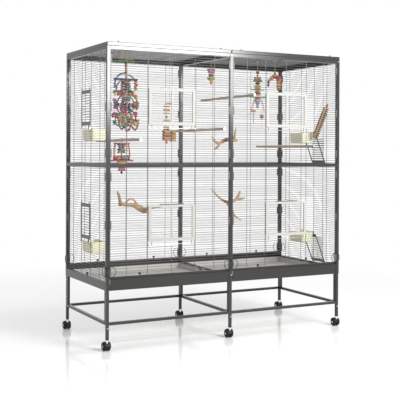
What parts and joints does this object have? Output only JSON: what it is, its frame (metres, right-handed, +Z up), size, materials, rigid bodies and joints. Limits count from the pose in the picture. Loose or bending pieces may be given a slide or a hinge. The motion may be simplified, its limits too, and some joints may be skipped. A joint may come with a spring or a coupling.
{
  "type": "rolling bird aviary",
  "caption": "Two-bay wire bird cage on a tube stand with swivel casters, framed front doors, side hatches with bowls, drawers, perches and hanging toys.",
  "frame": {"origin": "on the floor under the middle of the cage, midway between the outer casters", "axes": "+X along the front towards the right end, +Y from the front towards the back, +Z up"},
  "size_m": [1.6951, 0.7186, 1.738],
  "materials": {
    "frame_grey": "satin powder coat, dark grey",
    "sheet_grey": "satin powder coat, dark grey",
    "wire": "satin powder coat on wire",
    "door_plastic": "pale grey moulded plastic",
    "hatch_metal": "satin powder coat",
    "bowl_plastic": "cream plastic",
    "caster_black": "black plastic",
    "wheel_black": "black plastic",
    "socket_chrome": "bright plated",
    "clip_grey": "dark grey plastic",
    "black_plastic": "black plastic",
    "bolt_zinc": "zinc plated",
    "dowel_wood": "plain turned wood",
    "branch_wood": "natural branch",
    "woven_grass": "plaited grass",
    "plug_plastic": "black plastic",
    "toy_wood": "dyed wood blocks"
  },
  "bodies": {
    "cage": {"back_fascias": "sheet_grey", "base_rails": "frame_grey", "branches": "branch_wood", "caster_sockets": "socket_chrome", "clip_rings": "black_plastic", "frame_bolts": "bolt_zinc", "grille_back_lower": "wire", "grille_back_upper": "wire", "grille_front_lower": "wire", "grille_front_upper": "wire", "grille_left": "wire", "grille_right": "wire", "hinge_bars": "wire", "mid_rails": "frame_grey", "panel_clips": "clip_grey", "perch_screws": "bolt_zinc", "perches": "dowel_wood", "posts": "frame_grey", "rail_plugs": "plug_plastic", "roof_frames": "frame_grey", "roof_grilles": "wire", "sills": "frame_grey", "stand_legs": "frame_grey", "stand_stretchers": "frame_grey", "stand_struts": "frame_grey", "thumb_screws": "black_plastic", "top_rails": "frame_grey", "woven_tube": "woven_grass"},
    "drawer_left": {"drawer_left": "sheet_grey"},
    "drawer_right": {"drawer_right": "sheet_grey"},
    "door_left_lower": {"door_left_lower": "door_plastic"},
    "door_right_lower": {"door_right_lower": "door_plastic"},
    "hatch_left_lower": {"hatch_left_lower": "hatch_metal"},
    "hatch_right_lower": {"hatch_right_lower": "hatch_metal"},
    "bowl_left_lower": {"bowl_left_lower": "bowl_plastic"},
    "bowl_right_lower": {"bowl_right_lower": "bowl_plastic"},
    "door_left_upper": {"door_left_upper": "door_plastic"},
    "door_right_upper": {"door_right_upper": "door_plastic"},
    "hatch_left_upper": {"hatch_left_upper": "hatch_metal"},
    "hatch_right_upper": {"hatch_right_upper": "hatch_metal"},
    "bowl_left_upper": {"bowl_left_upper": "bowl_plastic"},
    "bowl_right_upper": {"bowl_right_upper": "bowl_plastic"},
    "caster_front_left": {"caster_fork_front_left": "caster_black"},
    "wheels_front_left": {"caster_wheels_front_left": "wheel_black"},
    "caster_front_middle": {"caster_fork_front_middle": "caster_black"},
    "wheels_front_middle": {"caster_wheels_front_middle": "wheel_black"},
    "caster_front_right": {"caster_fork_front_right": "caster_black"},
    "wheels_front_right": {"caster_wheels_front_right": "wheel_black"},
    "caster_back_left": {"caster_fork_back_left": "caster_black"},
    "wheels_back_left": {"caster_wheels_back_left": "wheel_black"},
    "caster_back_middle": {"caster_fork_back_middle": "caster_black"},
    "wheels_back_middle": {"caster_wheels_back_middle": "wheel_black"},
    "caster_back_right": {"caster_fork_back_right": "caster_black"},
    "wheels_back_right": {"caster_wheels_back_right": "wheel_black"},
    "toy_block_tower": {"toy_block_tower": "toy_wood"},
    "toy_wood_stack": {"toy_wood_stack": "toy_wood"},
    "toy_disc_stack": {"toy_disc_stack": "toy_wood"},
    "toy_stick_mobile": {"toy_stick_mobile": "toy_wood"},
    "toy_bead_arch": {"toy_bead_arch": "toy_wood"},
    "toy_block_drop": {"toy_block_drop": "toy_wood"}
  },
  "joints": [
    {"name": "drawer_left_slide", "type": "slide", "parent": "cage", "child": "drawer_left", "axis": [0, -1, 0], "range_m": [0, 0.6]},
    {"name": "drawer_right_slide", "type": "slide", "parent": "cage", "child": "drawer_right", "axis": [0, -1, 0], "range_m": [0, 0.6]},
    {"name": "door_left_lower_hinge", "type": "hinge", "parent": "cage", "child": "door_left_lower", "pos_m": [-0.3925, -0.3425, 0.579], "axis": [1, 0, 0], "range_deg": [0, 150]},
    {"name": "door_right_lower_hinge", "type": "hinge", "parent": "cage", "child": "door_right_lower", "pos_m": [0.3925, -0.3425, 0.579], "axis": [1, 0, 0], "range_deg": [0, 150]},
    {"name": "hatch_left_lower_hinge", "type": "hinge", "parent": "cage", "child": "hatch_left_lower", "pos_m": [-0.795, 0, 0.579], "axis": [0, -1, 0], "range_deg": [0, 158]},
    {"name": "hatch_right_lower_hinge", "type": "hinge", "parent": "cage", "child": "hatch_right_lower", "pos_m": [0.795, 0, 0.579], "axis": [0, 1, 0], "range_deg": [-158, 0]},
    {"name": "bowl_left_lower_lift", "type": "slide", "parent": "cage", "child": "bowl_left_lower", "axis": [0, 0, 1], "range_m": [0, 0.02]},
    {"name": "bowl_right_lower_lift", "type": "slide", "parent": "cage", "child": "bowl_right_lower", "axis": [0, 0, 1], "range_m": [0, 0.02]},
    {"name": "door_left_upper_hinge", "type": "hinge", "parent": "cage", "child": "door_left_upper", "pos_m": [-0.3925, -0.3425, 1.244], "axis": [1, 0, 0], "range_deg": [0, 150]},
    {"name": "door_right_upper_hinge", "type": "hinge", "parent": "cage", "child": "door_right_upper", "pos_m": [0.3925, -0.3425, 1.244], "axis": [1, 0, 0], "range_deg": [0, 150]},
    {"name": "hatch_left_upper_hinge", "type": "hinge", "parent": "cage", "child": "hatch_left_upper", "pos_m": [-0.795, 0, 1.244], "axis": [0, -1, 0], "range_deg": [0, 158]},
    {"name": "hatch_right_upper_hinge", "type": "hinge", "parent": "cage", "child": "hatch_right_upper", "pos_m": [0.795, 0, 1.244], "axis": [0, 1, 0], "range_deg": [-158, 0]},
    {"name": "bowl_left_upper_lift", "type": "slide", "parent": "cage", "child": "bowl_left_upper", "axis": [0, 0, 1], "range_m": [0, 0.02]},
    {"name": "bowl_right_upper_lift", "type": "slide", "parent": "cage", "child": "bowl_right_upper", "axis": [0, 0, 1], "range_m": [0, 0.02]},
    {"name": "caster_front_left_swivel", "type": "hinge", "parent": "cage", "child": "caster_front_left", "pos_m": [-0.785, -0.3325, 0.057], "axis": [0, 0, 1], "continuous": true},
    {"name": "wheels_front_left_roll", "type": "hinge", "parent": "caster_front_left", "child": "wheels_front_left", "pos_m": [-0.785, -0.3195, 0.025], "axis": [1, 0, 0], "continuous": true},
    {"name": "caster_front_middle_swivel", "type": "hinge", "parent": "cage", "child": "caster_front_middle", "pos_m": [0, -0.3325, 0.057], "axis": [0, 0, 1], "continuous": true},
    {"name": "wheels_front_middle_roll", "type": "hinge", "parent": "caster_front_middle", "child": "wheels_front_middle", "pos_m": [0, -0.3195, 0.025], "axis": [1, 0, 0], "continuous": true},
    {"name": "caster_front_right_swivel", "type": "hinge", "parent": "cage", "child": "caster_front_right", "pos_m": [0.785, -0.3325, 0.057], "axis": [0, 0, 1], "continuous": true},
    {"name": "wheels_front_right_roll", "type": "hinge", "parent": "caster_front_right", "child": "wheels_front_right", "pos_m": [0.785, -0.3195, 0.025], "axis": [1, 0, 0], "continuous": true},
    {"name": "caster_back_left_swivel", "type": "hinge", "parent": "cage", "child": "caster_back_left", "pos_m": [-0.785, 0.3325, 0.057], "axis": [0, 0, 1], "continuous": true},
    {"name": "wheels_back_left_roll", "type": "hinge", "parent": "caster_back_left", "child": "wheels_back_left", "pos_m": [-0.785, 0.3455, 0.025], "axis": [1, 0, 0], "continuous": true},
    {"name": "caster_back_middle_swivel", "type": "hinge", "parent": "cage", "child": "caster_back_middle", "pos_m": [0, 0.3325, 0.057], "axis": [0, 0, 1], "continuous": true},
    {"name": "wheels_back_middle_roll", "type": "hinge", "parent": "caster_back_middle", "child": "wheels_back_middle", "pos_m": [0, 0.3455, 0.025], "axis": [1, 0, 0], "continuous": true},
    {"name": "caster_back_right_swivel", "type": "hinge", "parent": "cage", "child": "caster_back_right", "pos_m": [0.785, 0.3325, 0.057], "axis": [0, 0, 1], "continuous": true},
    {"name": "wheels_back_right_roll", "type": "hinge", "parent": "caster_back_right", "child": "wheels_back_right", "pos_m": [0.785, 0.3455, 0.025], "axis": [1, 0, 0], "continuous": true},
    {"name": "toy_block_tower_swing", "type": "hinge", "parent": "cage", "child": "toy_block_tower", "pos_m": [-0.571, -0.074, 1.7101], "axis": [1, 0, 0], "range_deg": [-18, 18]},
    {"name": "toy_wood_stack_swing", "type": "hinge", "parent": "cage", "child": "toy_wood_stack", "pos_m": [-0.254, -0.018, 1.7101], "axis": [1, 0, 0], "range_deg": [-18, 18]},
    {"name": "toy_disc_stack_swing", "type": "hinge", "parent": "cage", "child": "toy_disc_stack", "pos_m": [0.044, -0.004, 1.7101], "axis": [1, 0, 0], "range_deg": [-25, 25]},
    {"name": "toy_stick_mobile_swing", "type": "hinge", "parent": "cage", "child": "toy_stick_mobile", "pos_m": [0.441, 0.08, 1.7101], "axis": [1, 0, 0], "range_deg": [-20, 20]},
    {"name": "toy_bead_arch_swing", "type": "hinge", "parent": "cage", "child": "toy_bead_arch", "pos_m": [0.504, -0.032, 1.7101], "axis": [1, 0, 0], "range_deg": [-25, 25]},
    {"name": "toy_block_drop_swing", "type": "hinge", "parent": "cage", "child": "toy_block_drop", "pos_m": [-0.59, -0.062, 1.1765], "axis": [0, 1, 0], "range_deg": [-20, 20]}
  ]
}
